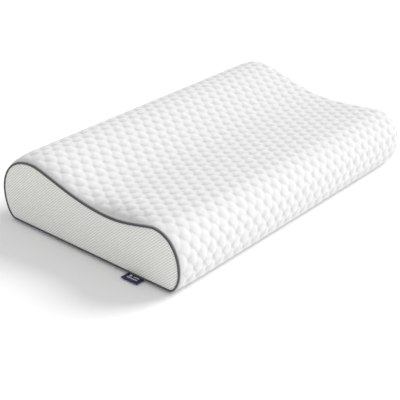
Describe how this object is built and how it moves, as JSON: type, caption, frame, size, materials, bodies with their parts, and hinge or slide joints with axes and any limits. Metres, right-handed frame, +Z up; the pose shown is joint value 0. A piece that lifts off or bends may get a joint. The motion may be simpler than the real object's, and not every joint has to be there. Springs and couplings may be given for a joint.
{
  "type": "contour bed pillow",
  "caption": "Contour bed pillow: a tall and a low lobe with a dip between, quilted knit cover, piped mesh ends, a side label and a rear zip.",
  "frame": {"origin": "middle of the flat base, on the surface that the pillow lies on", "axes": "+X along the pillow, away from the labelled end; +Y from the low front lobe to the tall rear lobe; +Z up"},
  "size_m": [0.6221, 0.3893, 0.1264],
  "materials": {
    "quilted_knit": "matte",
    "spacer_mesh": "matte",
    "piping_cloth": "matte",
    "piping_filler": "matte",
    "liner_knit": "matte",
    "memory_foam": "matte",
    "zip_cloth": "matte",
    "nylon_coil": "satin",
    "zip_metal": "satin",
    "navy_weave": "matte",
    "satin": "satin"
  },
  "bodies": {
    "pillow": {"foam_core": "memory_foam", "inner_liner_wrap": "liner_knit", "inner_liner_left_end": "liner_knit", "inner_liner_right_end": "liner_knit", "cover_sleeve": "quilted_knit", "end_panel_left": "spacer_mesh", "end_panel_right": "spacer_mesh", "piping_tape_left": "piping_cloth", "piping_tape_right": "piping_cloth", "piping_cord_left": "piping_filler", "piping_cord_right": "piping_filler", "zip_tape_upper": "zip_cloth", "zip_tape_lower": "zip_cloth", "zip_coil_upper": "nylon_coil", "zip_coil_lower": "nylon_coil", "zip_top_stop_upper": "zip_metal", "zip_top_stop_lower": "zip_metal", "zip_bottom_stop": "zip_metal", "side_label": "navy_weave", "care_label": "satin"},
    "zip_slider": {"zip_slider": "zip_metal"},
    "zip_pull_tab": {"zip_pull_tab": "zip_metal"}
  },
  "joints": [
    {"name": "zip_slide", "type": "slide", "parent": "pillow", "child": "zip_slider", "axis": [1, 0, 0], "range_m": [0, 0.4582]},
    {"name": "pull_tab_hinge", "type": "hinge", "parent": "zip_slider", "child": "zip_pull_tab", "pos_m": [-0.2291, 0.19425, 0.05], "axis": [0, 0, 1], "range_deg": [0, 180]}
  ]
}
